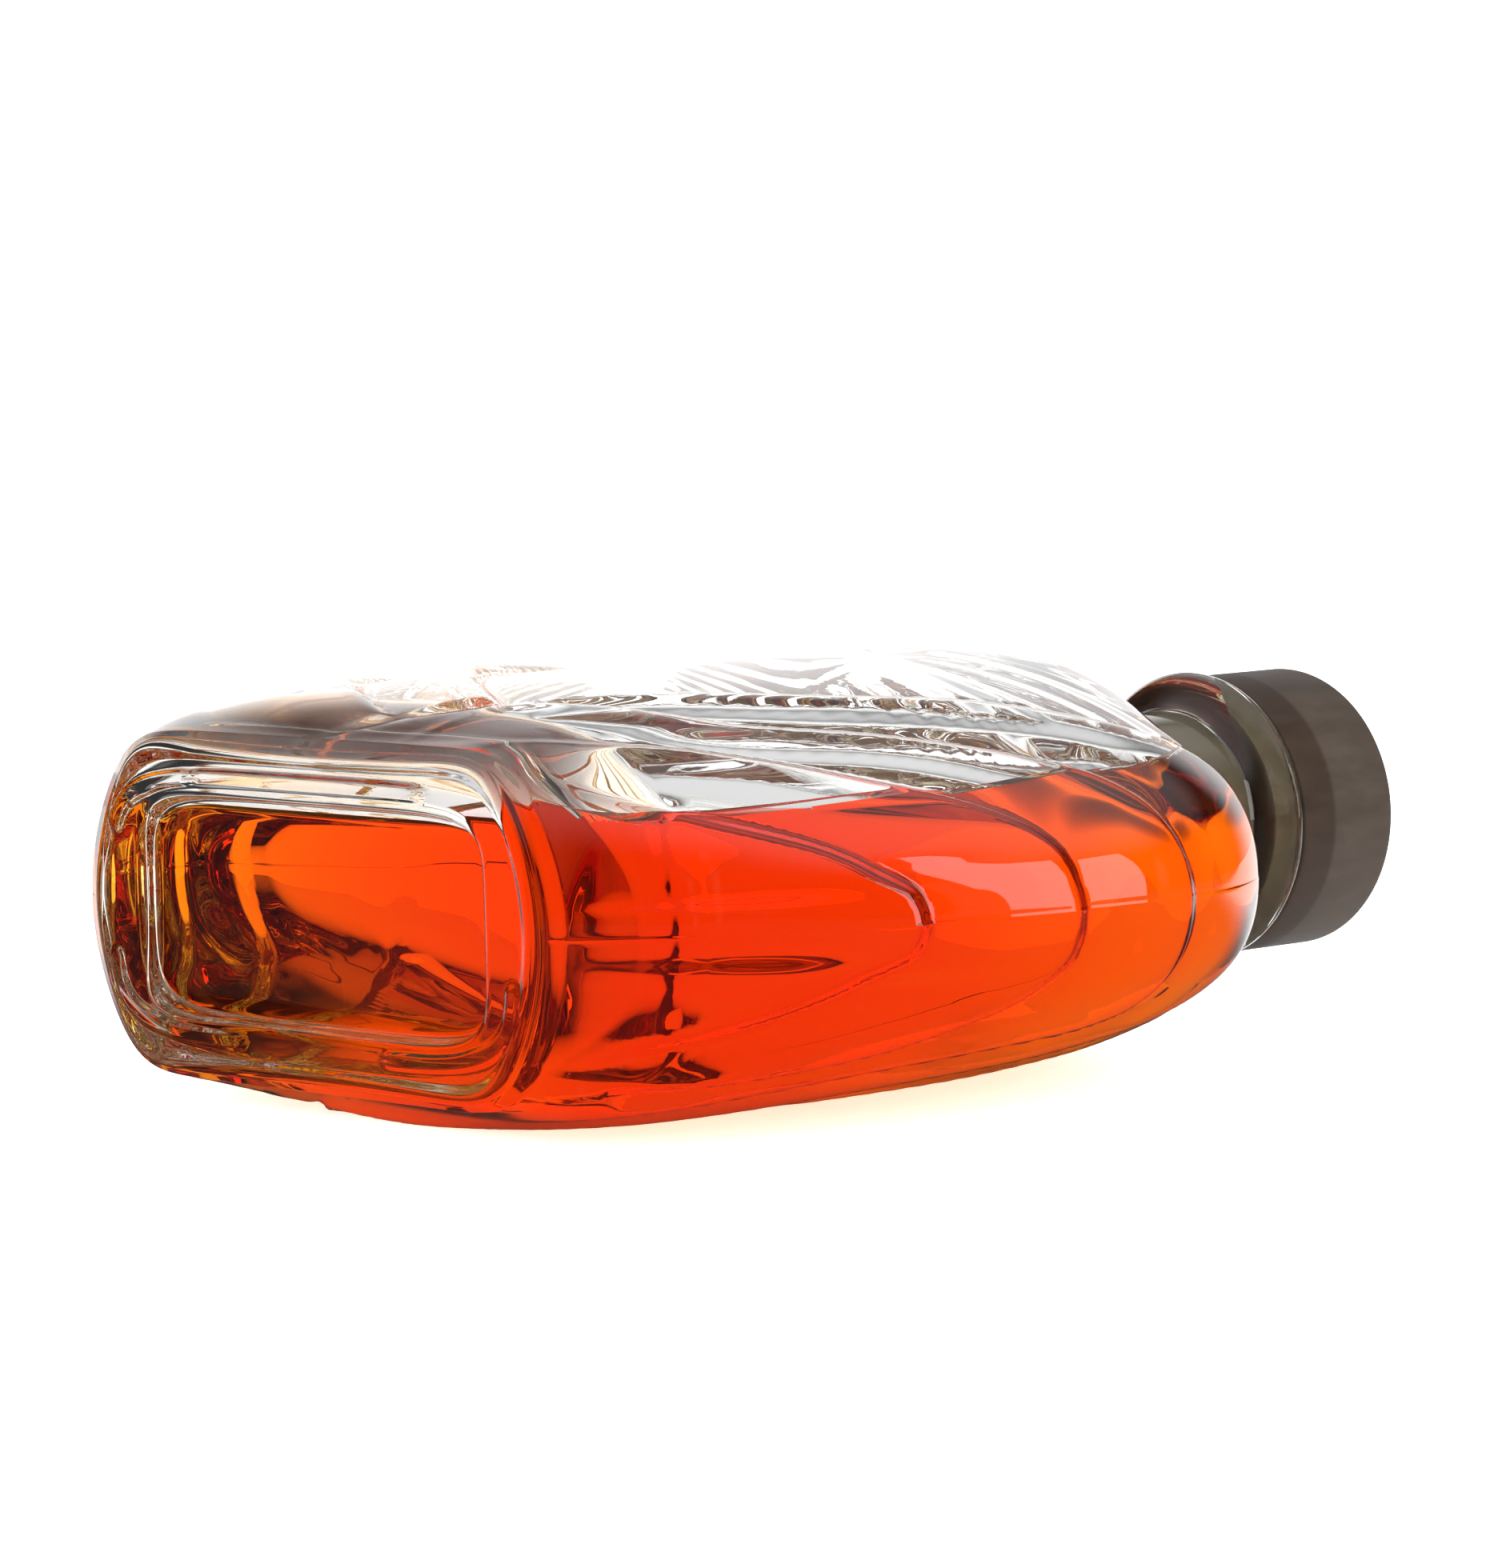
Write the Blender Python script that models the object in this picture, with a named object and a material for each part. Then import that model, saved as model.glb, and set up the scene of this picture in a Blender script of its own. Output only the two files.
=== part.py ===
"""Decanter flask of clear pressed glass, full of brandy and stoppered, lying on one broad face.

The flask's axis runs along X, from the base towards the stopper. Its width is along Y and its
thickness along Z. The origin is under the middle of the flask, on the surface that it lies on.
Flask stations below are measured along the axis from the base plane.
"""
import math

import bmesh
import bpy
import numpy as np

MM = 0.001

# Overall sizes
OVERALL_LENGTH = 213.4 * MM
REST_DEPTH = 31.5 * MM          # from the axis down to the flat that the flask lies on
SHELL_STEPS = 64                # facets round the glass and round the drink in it
STOPPER_STEPS = 48
FIT_GAP = 0.3 * MM              # left between touching pieces

# Body outline: station, half width, half thickness, squareness, side bow, face crown
BODY = [
    (0.0, 51.2, 25.0, 11.7, 0.20, -0.05),
    (12.0, 63.4, 29.0, 8.5, 0.26, 0.12),
    (26.0, 72.6, 30.7, 6.4, 0.31, 0.24),
    (40.0, 78.5, 31.5, 5.1, 0.34, 0.29),
    (55.0, 82.3, 31.9, 4.5, 0.35, 0.32),
    (70.0, 84.8, 32.0, 4.3, 0.36, 0.33),
    (86.0, 85.8, 32.0, 4.3, 0.36, 0.33),
    (104.0, 83.3, 31.6, 4.3, 0.36, 0.33),
    (122.0, 74.0, 30.8, 4.3, 0.36, 0.33),
    (137.5, 54.3, 30.7, 4.1, 0.33, 0.30),
    (150.5, 27.5, 28.0, 3.0, 0.18, 0.16),
    (159.0, 18.6, 19.4, 2.1, 0.02, 0.02),
    (164.5, 17.8, 17.8, 2.0, 0.0, 0.0),
]
BODY_END = 164.5 * MM
BODY_RINGS = 33

# Base: rounded heel, flat bearing ring and a shallow recess inside it
HEEL = [(0.0, 2.2), (0.6, 0.8), (2.2, 0.0)]     # station, inset
RECESS_HALF_WIDTH = 38.5 * MM
RECESS_HALF_HEIGHT = 16.4 * MM
RECESS_SQUARENESS = 6.5
RECESS_DEPTH = 3.4 * MM
RECESS_LIP = 1.8 * MM

# Neck and flange, outside: station, radius
NECK = [(176.0, 17.9), (184.6, 18.1), (186.4, 19.3), (188.0, 22.6), (189.1, 23.9), (190.3, 23.7), (191.0, 22.9)]
MOUTH = 191.0 * MM
BORE_RADIUS = 10.0 * MM

# Inside of the glass: station, half width, half thickness, squareness, side bow, face crown
FLOOR = 13.5 * MM
FLOOR_FILLET = 8.0 * MM
INSIDE = [
    (21.5, 64.0, 26.6, 4.2, 0.20, 0.10),
    (40.0, 74.0, 27.0, 3.9, 0.29, 0.22),
    (70.0, 81.0, 27.3, 3.8, 0.33, 0.29),
    (104.0, 79.4, 26.9, 3.8, 0.33, 0.29),
    (122.0, 69.4, 26.0, 3.7, 0.31, 0.26),
    (137.5, 46.5, 24.8, 3.3, 0.24, 0.19),
    (147.0, 25.0, 20.0, 2.4, 0.06, 0.05),
    (156.0, 12.0, 12.0, 2.0, 0.0, 0.0),
    (164.5, 10.0, 10.0, 2.0, 0.0, 0.0),
]
INSIDE_END = 164.5 * MM
INSIDE_RINGS = 18
LIQUOR_LEVEL = 14.6 * MM        # above the axis

# Stopper: a head as wide as the flange, on a shank that fills the neck
HEAD_RADIUS = 23.1 * MM
HEAD_EDGE = 1.2 * MM
SHANK_END = 166.0 * MM

# Relief: overlapping petals. Each edge is a curve round the flask, given as pairs of a share of a
# quarter turn away from the side seam and a station. UPPER edges go over the face above the seam,
# and LOWER ones over the face below it and on past the middle of that face.
UPPER = [
    [(0.0, 48.0), (0.09, 46.5), (0.16, 41.5), (0.23, 35.5), (0.33, 22.5), (0.41, 12.0), (0.54, 3.0), (0.8, -30.0)],
    [(0.0, 75.0), (0.16, 73.0), (0.23, 70.0), (0.33, 61.0), (0.40, 50.0), (0.48, 38.0), (0.53, 28.0),
     (0.58, 16.5), (0.64, 8.5), (0.74, 4.0), (0.80, 1.4), (1.0, -20.0)],
    [(0.0, 98.5), (0.12, 97.5), (0.25, 95.5), (0.36, 90.0), (0.42, 82.7), (0.48, 74.0), (0.54, 62.5),
     (0.61, 42.0), (0.71, 30.0), (0.80, 21.5), (0.89, 10.8), (1.0, 2.8), (1.2, -20.0)],
]
WRAP = [(0.0, 133.0), (0.25, 128.0), (0.41, 120.5), (0.53, 106.5), (0.64, 86.0), (0.71, 61.0),
        (0.765, 42.0), (0.80, 24.0), (0.89, 11.2), (1.0, 3.2), (1.2, -20.0)]
LOWER = [
    [(0.0, 48.0), (0.08, 46.5), (0.16, 38.5), (0.23, 30.5), (0.30, 21.0), (0.36, 12.5), (0.45, 5.0), (0.7, -20.0)],
    [(0.0, 75.0), (0.13, 74.0), (0.20, 71.0), (0.27, 66.5), (0.33, 60.0), (0.40, 51.0), (0.445, 38.0),
     (0.48, 17.0), (0.55, 4.0), (0.7, -15.0)],
    [(0.0, 98.5), (0.20, 98.0), (0.33, 96.0), (0.40, 90.0), (0.45, 76.0), (0.51, 52.0), (0.60, 22.0),
     (0.75, 4.2), (0.90, 0.9), (1.1, -15.0)],
    [(0.0, 133.0), (0.3, 126.0), (0.5, 104.0), (0.65, 66.0), (0.80, 32.0), (0.95, 18.0), (1.11, 10.3), (1.3, 4.0)],
    [(0.0, 150.0), (0.4, 140.0), (0.6, 110.0), (0.80, 62.0), (0.95, 39.5), (1.06, 30.0), (1.23, 19.0), (1.4, 12.0)],
    [(0.4, 150.0), (0.8, 136.0), (0.95, 122.0), (1.13, 107.0), (1.3, 102.5), (1.5, 102.0)],
    [(0.4, 158.0), (0.85, 143.0), (1.04, 130.0), (1.2, 126.5), (1.5, 126.0)],
]
LOWER_HEIGHTS = [1.9, 1.9, 1.9, 2.0, 2.0, 1.0, 1.0]
UPPER_HEIGHT = 1.9
LOWER_FULL = [28.0, 28.0, 28.0, 16.0, 16.0, 9.0, 9.0]   # station where each petal has its full height
UPPER_FULL = 28.0
EDGE_ROLL = 3.0 * MM            # width over which a petal's edge rounds down to the next petal
PETAL_SWELL = 0.75              # the raised edge dies away behind it over this share of the petal,
PETAL_REACH = (4.0 * MM, 20.0 * MM)     # but over no less and no more than these
RELIEF_BASE = 1.5 * MM          # station where the relief sets in
RELIEF_NECK = (140.0 * MM, 154.0 * MM)  # stations between which it dies away


def smooth_curve(points):
    """Cubic curve through the points, without overshoot; beyond them it keeps the end values."""
    xs, ys = (np.array(column, float) for column in zip(*points))
    gap = np.diff(xs)
    slope = np.diff(ys) / gap
    tangent = np.concatenate([slope[:1], np.zeros(len(xs) - 2), slope[-1:]])
    for i in range(1, len(xs) - 1):
        if slope[i - 1] * slope[i] > 0:
            before = 2 * gap[i] + gap[i - 1]
            after = gap[i] + 2 * gap[i - 1]
            tangent[i] = (before + after) / (before / slope[i - 1] + after / slope[i])

    def value(at):
        at = np.clip(at, xs[0], xs[-1])
        i = np.clip(np.searchsorted(xs, at) - 1, 0, len(gap) - 1)
        t = (at - xs[i]) / gap[i]
        rise = (3 - 2 * t) * t * t
        return (ys[i] + (ys[i + 1] - ys[i]) * rise
                + gap[i] * t * (1 - t) * (tangent[i] * (1 - t) - tangent[i + 1] * t))

    return value


def ease(low, high, at):
    t = np.clip((at - low) / (high - low), 0.0, 1.0)
    return t * t * (3 - 2 * t)


def section_table(rows):
    """Curves for half width, half thickness, squareness, side bow and face crown by station."""
    columns = list(zip(*rows))
    return [smooth_curve(list(zip(columns[0], column))) for column in columns[1:]]


def section(values, turn):
    """Ring of (y, z) at the angles in turn: a rounded rectangle with bowed sides and faces."""
    half_width, half_height, square, bow, crown = values
    y0 = np.cos(turn) * half_width
    z0 = np.sin(turn) * half_height
    scale = np.ones_like(turn)
    for _ in range(24):
        across = np.abs(z0 * scale / half_height)
        along = np.abs(y0 * scale / half_width)
        side = along / (1 - bow * np.minimum(across, 1.2) ** 2)
        face = across / (1 - crown * np.minimum(along, 1.2) ** 2)
        scale *= (side ** square + face ** square) ** (-1 / square)
    return y0 * scale, z0 * scale


def normals(y, z):
    """Outward unit normals of a ring that runs anticlockwise."""
    dy = np.roll(y, -1) - np.roll(y, 1)
    dz = np.roll(z, -1) - np.roll(z, 1)
    length = np.hypot(dy, dz)
    return dz / length, -dy / length


def petal_set(lines, heights, full):
    """For each petal of a set, its edge, the edge inside it, its height and where it has all of it."""
    edges = [smooth_curve(line) for line in lines]
    base_plane = smooth_curve([(0.0, 0.0), (2.0, 0.0)])
    return list(zip(edges, [base_plane] + edges[:-1], heights, full))


PETAL_UPPER = petal_set(UPPER + [WRAP], [UPPER_HEIGHT] * 4, [UPPER_FULL] * 4)
PETAL_LOWER = petal_set(LOWER, LOWER_HEIGHTS, LOWER_FULL)
WRAP_EDGE = smooth_curve(WRAP)


def petal_edge(station, quarter, petal, arc):
    """Height of one petal: it swells towards its edge and rounds off over EDGE_ROLL."""
    line, inner, height, full = petal
    edge = line(quarter) * MM
    step = 0.01
    lean = (line(quarter + step) - line(quarter - step)) * MM / (2 * step * arc)
    slant = np.sqrt(1 + lean ** 2)
    behind = (edge - station) / slant
    reach = np.clip((edge - inner(quarter) * MM) / slant * PETAL_SWELL, *PETAL_REACH)
    roll = np.clip(behind / EDGE_ROLL, 0.0, 1.0)
    fade = np.exp(-(np.maximum(behind - EDGE_ROLL, 0.0) / reach) ** 2)
    return height * MM * ease(RELIEF_BASE, full * MM, station) * (1 - (1 - roll) ** 2) * fade


def petals_of_one_side(station, quarter, arc):
    """Relief of the petals that spring from one side seam, by signed quarter turns from it."""
    height = np.zeros_like(quarter)
    above = (quarter >= 0) & (quarter < 1.2)
    for petal in PETAL_UPPER:
        height = np.maximum(height, np.where(above, petal_edge(station, quarter, petal, arc), 0.0))
    below = quarter < 0
    depth = -quarter
    past_wrap = ease(-1.0 * MM, 1.0 * MM, station - WRAP_EDGE(np.clip(2 - depth, 0.0, 1.2)) * MM)
    shown = np.where(below & (depth < 1.6), np.where(depth > 0.8, past_wrap, 1.0), 0.0)
    for petal in PETAL_LOWER:
        height = np.maximum(height, shown * petal_edge(station, depth, petal, arc))
    return height


def relief(station, turn, y, z):
    """Relief at one station, the same after half a turn about the axis."""
    length = np.hypot(np.roll(y, -1) - np.roll(y, 1), np.roll(z, -1) - np.roll(z, 1)) / 2
    arc = length * len(turn) / 4
    near = np.mod(np.degrees(math.pi - turn) / 90 + 2, 4) - 2
    far = np.mod(near + 4, 4) - 2
    height = np.maximum(petals_of_one_side(station, near, arc), petals_of_one_side(station, far, arc))
    return height * (1 - ease(*RELIEF_NECK, station))


def outer_ring(station, turn, table):
    values = [curve(station / MM) for curve in table]
    y, z = section([values[0] * MM, values[1] * MM, *values[2:]], turn)
    ny, nz = normals(y, z)
    rise = relief(station, turn, y, z)
    z = np.maximum(z + nz * rise, -REST_DEPTH)
    return station, y + ny * rise, z


def inset_ring(station, inset, turn, table):
    values = [curve(0.0) for curve in table]
    y, z = section([values[0] * MM, values[1] * MM, *values[2:]], turn)
    ny, nz = normals(y, z)
    return station, y - ny * inset, z - nz * inset


def round_ring(station, radius, turn):
    return station, np.cos(turn) * radius, np.sin(turn) * radius


def inside_rings(turn, shrink):
    """Rings of the hollow from its floor to the neck, each taken in by shrink."""
    table = section_table(INSIDE)
    first = INSIDE[0][0] * MM
    rings = []
    values = [curve(first / MM) for curve in table]
    for step in range(4):
        angle = math.radians(20 + 70 * step / 4)
        inset = FLOOR_FILLET * (1 - math.sin(angle)) + shrink
        station = FLOOR + FLOOR_FILLET * (1 - math.cos(angle)) + shrink
        y, z = section([values[0] * MM - inset, values[1] * MM - inset, *values[2:]], turn)
        rings.append((station, y, z))
    for station in np.linspace(first + shrink, INSIDE_END, INSIDE_RINGS):
        values = [curve(station / MM) for curve in table]
        y, z = section([values[0] * MM - shrink, values[1] * MM - shrink, *values[2:]], turn)
        rings.append((station, y, z))
    return rings


def loft(name, rings, start, end, material):
    """Closed body through rings of equal count, with a point at each end, faces outwards."""
    mesh_data = bmesh.new()
    place = OVERALL_LENGTH / 2
    rows = []
    for station, y, z in rings:
        rows.append([mesh_data.verts.new((station - place, a, b + REST_DEPTH)) for a, b in zip(y, z)])
    tips = [mesh_data.verts.new((x - place, 0.0, REST_DEPTH)) for x in (start, end)]
    count = len(rows[0])
    for row, following in zip(rows, rows[1:]):
        for i in range(count):
            j = (i + 1) % count
            mesh_data.faces.new((row[i], row[j], following[j], following[i]))
    for i in range(count):
        j = (i + 1) % count
        mesh_data.faces.new((tips[0], rows[0][j], rows[0][i]))
        mesh_data.faces.new((tips[1], rows[-1][i], rows[-1][j]))
    bmesh.ops.recalc_face_normals(mesh_data, faces=mesh_data.faces)
    mesh = bpy.data.meshes.new(name)
    mesh_data.to_mesh(mesh)
    mesh_data.free()
    mesh.shade_smooth()
    mesh.set_sharp_from_angle(angle=math.radians(40))
    mesh.materials.append(material)
    made = bpy.data.objects.new(name, mesh)
    bpy.context.collection.objects.link(made)
    return made


def turns(count):
    return np.arange(count) * (2 * math.pi / count)


def make_material(name, colour, roughness, transmission=0.0, ior=1.5):
    material = bpy.data.materials.new(name)
    material.use_nodes = True
    shader = material.node_tree.nodes["Principled BSDF"]
    shader.inputs["Base Color"].default_value = (*colour, 1.0)
    shader.inputs["Roughness"].default_value = roughness
    shader.inputs["Metallic"].default_value = 0.0
    shader.inputs["Transmission Weight"].default_value = transmission
    shader.inputs["IOR"].default_value = ior
    return material


def make_glass():
    """The bottle: base, body with its petals, neck, flange, bore and hollow, as one skin."""
    turn = turns(SHELL_STEPS)
    table = section_table(BODY)
    recess = [RECESS_HALF_WIDTH, RECESS_HALF_HEIGHT, RECESS_SQUARENESS, 0.0, 0.0]
    rings = []
    for size, station in ((0.55, RECESS_DEPTH), (0.93, RECESS_DEPTH * 0.9), (1.0, RECESS_LIP)):
        y, z = section([recess[0] * size, recess[1] * size, *recess[2:]], turn)
        rings.append((station, y, z))
    y, z = section([recess[0] + RECESS_LIP, recess[1] + RECESS_LIP, *recess[2:]], turn)
    rings.append((0.0, y, z))
    rings += [inset_ring(station * MM, inset * MM, turn, table) for station, inset in HEEL[:-1]]
    for share in np.linspace(0.0, 1.0, BODY_RINGS):
        station = HEEL[-1][0] * MM + (BODY_END - HEEL[-1][0] * MM) * share
        rings.append(outer_ring(station, turn, table))
    rings += [round_ring(station * MM, radius * MM, turn) for station, radius in NECK]
    rings.append(round_ring(MOUTH, BORE_RADIUS, turn))
    rings += reversed(inside_rings(turn, 0.0))
    material = make_material("clear_glass", (0.93, 0.95, 0.93), 0.02, 1.0, 1.52)
    return loft("glass_bottle", rings, RECESS_DEPTH * 1.15, FLOOR, material)


def make_liquor():
    """The drink up to its level surface, and on into the bore as far as the stopper."""
    turn = turns(SHELL_STEPS)
    rings = [(station, y, np.minimum(z, LIQUOR_LEVEL)) for station, y, z in inside_rings(turn, FIT_GAP)]
    end = SHANK_END - FIT_GAP
    rings.append(round_ring(end, BORE_RADIUS - FIT_GAP, turn))
    material = make_material("brandy", (0.85, 0.18, 0.01), 0.02, 1.0, 1.36)
    return loft("liquor", rings, FLOOR + FIT_GAP, end, material)


def make_stopper():
    """Head with rounded rims, and the shank below it."""
    turn = turns(STOPPER_STEPS)
    under = MOUTH + FIT_GAP
    shank = BORE_RADIUS - FIT_GAP
    outline = [(SHANK_END, shank - HEAD_EDGE), (SHANK_END + HEAD_EDGE, shank), (under, shank),
               (under, HEAD_RADIUS - HEAD_EDGE / 2), (under + HEAD_EDGE / 2, HEAD_RADIUS),
               (OVERALL_LENGTH - HEAD_EDGE, HEAD_RADIUS),
               (OVERALL_LENGTH - HEAD_EDGE * 0.3, HEAD_RADIUS - HEAD_EDGE * 0.3),
               (OVERALL_LENGTH, HEAD_RADIUS - HEAD_EDGE)]
    rings = [round_ring(station, radius, turn) for station, radius in outline]
    material = make_material("dark_wood", (0.10, 0.085, 0.07), 0.55)
    return loft("stopper", rings, SHANK_END, OVERALL_LENGTH, material)


for old in list(bpy.data.objects):
    bpy.data.objects.remove(old)
make_glass()
make_liquor()
make_stopper()
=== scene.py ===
import math

import bmesh
import bpy
import numpy as np
from mathutils import Matrix, Vector


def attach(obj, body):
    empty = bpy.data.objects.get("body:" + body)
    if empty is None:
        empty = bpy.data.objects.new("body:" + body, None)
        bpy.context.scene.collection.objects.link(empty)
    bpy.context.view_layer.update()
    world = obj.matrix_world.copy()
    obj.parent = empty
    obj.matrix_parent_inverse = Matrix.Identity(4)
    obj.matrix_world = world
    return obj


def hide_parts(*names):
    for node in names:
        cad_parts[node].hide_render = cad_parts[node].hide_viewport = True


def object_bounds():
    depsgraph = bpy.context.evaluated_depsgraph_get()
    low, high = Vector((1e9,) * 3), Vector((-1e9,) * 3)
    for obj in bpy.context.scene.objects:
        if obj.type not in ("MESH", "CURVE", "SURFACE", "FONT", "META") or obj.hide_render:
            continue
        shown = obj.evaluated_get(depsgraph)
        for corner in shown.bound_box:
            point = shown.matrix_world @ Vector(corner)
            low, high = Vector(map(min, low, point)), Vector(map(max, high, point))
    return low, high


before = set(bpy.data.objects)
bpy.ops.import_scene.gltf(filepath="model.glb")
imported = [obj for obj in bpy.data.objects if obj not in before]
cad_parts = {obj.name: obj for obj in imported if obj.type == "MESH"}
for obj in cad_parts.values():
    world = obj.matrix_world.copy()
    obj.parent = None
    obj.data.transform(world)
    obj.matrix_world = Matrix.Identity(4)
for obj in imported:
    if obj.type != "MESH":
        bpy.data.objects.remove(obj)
cad_low, cad_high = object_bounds()

MM = 0.001

# Overall sizes
OVERALL_LENGTH = 213.4 * MM
REST_DEPTH = 31.5 * MM          # from the axis down to the flat that the flask lies on
SHELL_STEPS = 288               # facets round the glass, before the fine ones at the side seams
SEAM_SHARES = (0.2, 0.45, 0.7)  # places of the fine facets beside a seam, as shares of a full one
LIQUOR_STEPS = 288
STOPPER_STEPS = 192
SECTION_PASSES = 24             # passes that bring a section's points onto its outline
WALL_BITE = 0.15 * MM           # the drink reaches this far into the wall
SURFACE_COVER = 0.03 * MM       # the drink's surface lies this much above its body

# Body outline: station, half width, half thickness, squareness, side bow, face crown
BODY = [
    (0.0, 51.2, 25.0, 11.7, 0.20, -0.05),
    (12.0, 63.4, 29.0, 8.5, 0.26, 0.12),
    (26.0, 72.6, 30.7, 6.4, 0.31, 0.24),
    (40.0, 78.5, 31.5, 5.1, 0.34, 0.29),
    (55.0, 82.3, 31.9, 4.5, 0.35, 0.32),
    (70.0, 84.8, 32.0, 4.3, 0.36, 0.33),
    (86.0, 85.8, 32.0, 4.3, 0.36, 0.33),
    (104.0, 83.3, 31.6, 4.3, 0.36, 0.33),
    (122.0, 74.0, 30.8, 4.3, 0.36, 0.33),
    (137.5, 54.3, 30.7, 4.1, 0.33, 0.30),
    (150.5, 27.5, 28.0, 3.0, 0.18, 0.16),
    (159.0, 18.6, 19.4, 2.1, 0.02, 0.02),
    (164.5, 17.8, 17.8, 2.0, 0.0, 0.0),
]
BODY_END = 164.5 * MM
BODY_RINGS = 180

# Base: rounded heel, bearing ring with low bars on it, and a shallow recess
HEEL_RADIUS = 2.2 * MM
HEEL_STEPS = 6
RECESS = (38.5, 16.4, 6.5)      # half width, half height, squareness
RECESS_DEPTH = 3.4 * MM
RECESS_DISH = 0.15              # its floor is deeper in the middle by this share
RECESS_CORNER = 1.4 * MM        # radius between its floor and its wall
RECESS_LIP = 1.8 * MM
RECESS_RINGS, CORNER_RINGS, LIP_RINGS, BEARING_RINGS = 8, 7, 6, 20
TRACK = (45.4, 19.3, 5.0)       # middle line of the bars: half width, half height, squareness
TRACK_STEPS = 1440
TRACK_DEPTH = 0.45 * MM         # the bars' tops are in the base plane, and the ring lies this much deeper
BAR_HALF_WIDTH = 1.4 * MM
BARS = [                        # ends of each bar along the track: (y, z) to (y, z)
    ((24.7, 19.3), (-24.7, 19.3)),
    ((-45.1, -8.2), (-18.3, -20.0)),
    ((16.9, -21.0), (45.1, -8.5)),
    ((42.3, 11.0), (27.7, 20.4)),
]
SEAM_HEIGHT = 0.05 * MM         # fine mould seam along both sides
SEAM_HALF_WIDTH = 0.25 * MM

# Neck and flange, outside: station, radius
NECK = [(176.0, 17.9), (183.4, 17.9), (184.6, 18.1), (186.4, 19.3), (188.0, 22.6), (189.1, 23.9), (190.3, 23.7),
        (191.0, 22.9)]
NECK_RINGS = 30
MOUTH = 191.0 * MM
MOUTH_EDGE = 1.0 * MM
BORE_RADIUS = 10.0 * MM

# Inside of the glass: station, half width, half thickness, squareness, side bow, face crown
FLOOR = 13.5 * MM
FLOOR_FILLET = 8.0 * MM
FLOOR_RINGS = 14
INSIDE = [
    (21.5, 64.0, 26.6, 4.2, 0.20, 0.10),
    (40.0, 74.0, 27.0, 3.9, 0.29, 0.22),
    (70.0, 81.0, 27.3, 3.8, 0.33, 0.29),
    (104.0, 79.4, 26.9, 3.8, 0.33, 0.29),
    (122.0, 69.4, 26.0, 3.7, 0.31, 0.26),
    (137.5, 46.5, 24.8, 3.3, 0.24, 0.19),
    (147.0, 25.0, 20.0, 2.4, 0.06, 0.05),
    (156.0, 12.0, 12.0, 2.0, 0.0, 0.0),
    (164.5, 10.0, 10.0, 2.0, 0.0, 0.0),
]
INSIDE_END = 164.5 * MM
INSIDE_RINGS = 56
LIQUOR_LEVEL = 14.6 * MM        # above the axis
MENISCUS = (1.3 * MM, 1.1 * MM)  # rise at the wall and reach
SURFACE_STEPS = 72              # across the drink's surface
SURFACE_TURNS = 1440            # round the hollow, where its width at the drink's level is taken
GLASS_IOR = 1.52
DRINK_IOR = 1.36

# Stopper: a head as wide as the flange, on a shank that fills the neck
HEAD_RADIUS = 23.1 * MM
HEAD_EDGE = 1.2 * MM
FLANGE_SHADE_END = 198.4 * MM          # painted shade: the head is darker from its underside to here, where the flange shades it
HEAD_SIDE = (193.0, 211.0, 19)  # rings along its side: first and last station, and count
RIM_STEPS, TOP_STEPS = 6, 8     # steps round its lower and upper edges
SHANK_END = 166.0 * MM
SHANK_GAP = 0.3 * MM

# Relief: overlapping petals. Each edge is a curve round the flask, given as pairs of a share of a
# quarter turn away from the side seam and a station. UPPER edges go over the face above the seam,
# and LOWER ones over the face below it and on past the middle of that face.
UPPER = [
    [(0.0, 48.0), (0.09, 46.5), (0.16, 41.5), (0.23, 35.5), (0.33, 22.5), (0.41, 12.0), (0.54, 3.0), (0.8, -30.0)],
    [(0.0, 75.0), (0.16, 73.0), (0.23, 70.0), (0.33, 61.0), (0.40, 50.0), (0.48, 38.0), (0.53, 28.0),
     (0.58, 16.5), (0.64, 8.5), (0.74, 4.0), (0.80, 1.4), (1.0, -20.0)],
    [(0.0, 98.5), (0.12, 97.5), (0.25, 95.5), (0.36, 90.0), (0.42, 82.7), (0.48, 74.0), (0.54, 62.5),
     (0.61, 42.0), (0.71, 30.0), (0.80, 21.5), (0.89, 10.8), (1.0, 2.8), (1.2, -20.0)],
]
WRAP = [(0.0, 133.0), (0.25, 128.0), (0.41, 120.5), (0.53, 106.5), (0.64, 86.0), (0.71, 61.0),
        (0.765, 42.0), (0.80, 24.0), (0.89, 11.2), (1.0, 3.2), (1.2, -20.0)]
LOWER = [
    [(0.0, 48.0), (0.08, 46.5), (0.16, 38.5), (0.23, 30.5), (0.30, 21.0), (0.36, 12.5), (0.45, 5.0), (0.7, -20.0)],
    [(0.0, 75.0), (0.13, 74.0), (0.20, 71.0), (0.27, 66.5), (0.33, 60.0), (0.40, 51.0), (0.445, 38.0),
     (0.48, 17.0), (0.55, 4.0), (0.7, -15.0)],
    [(0.0, 98.5), (0.20, 98.0), (0.33, 96.0), (0.40, 90.0), (0.45, 76.0), (0.51, 52.0), (0.60, 22.0),
     (0.75, 4.2), (0.90, 0.9), (1.1, -15.0)],
    [(0.0, 133.0), (0.3, 126.0), (0.5, 104.0), (0.65, 66.0), (0.80, 32.0), (0.95, 18.0), (1.11, 10.3), (1.3, 4.0)],
    [(0.0, 150.0), (0.4, 140.0), (0.6, 110.0), (0.80, 62.0), (0.95, 39.5), (1.06, 30.0), (1.23, 19.0), (1.4, 12.0)],
    [(0.4, 150.0), (0.8, 136.0), (0.95, 122.0), (1.13, 107.0), (1.3, 102.5), (1.5, 102.0)],
    [(0.4, 158.0), (0.85, 143.0), (1.04, 130.0), (1.2, 126.5), (1.5, 126.0)],
]
LOWER_HEIGHTS = [1.9, 1.9, 1.9, 2.0, 2.0, 1.0, 1.0]
UPPER_HEIGHT = 1.9
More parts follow.
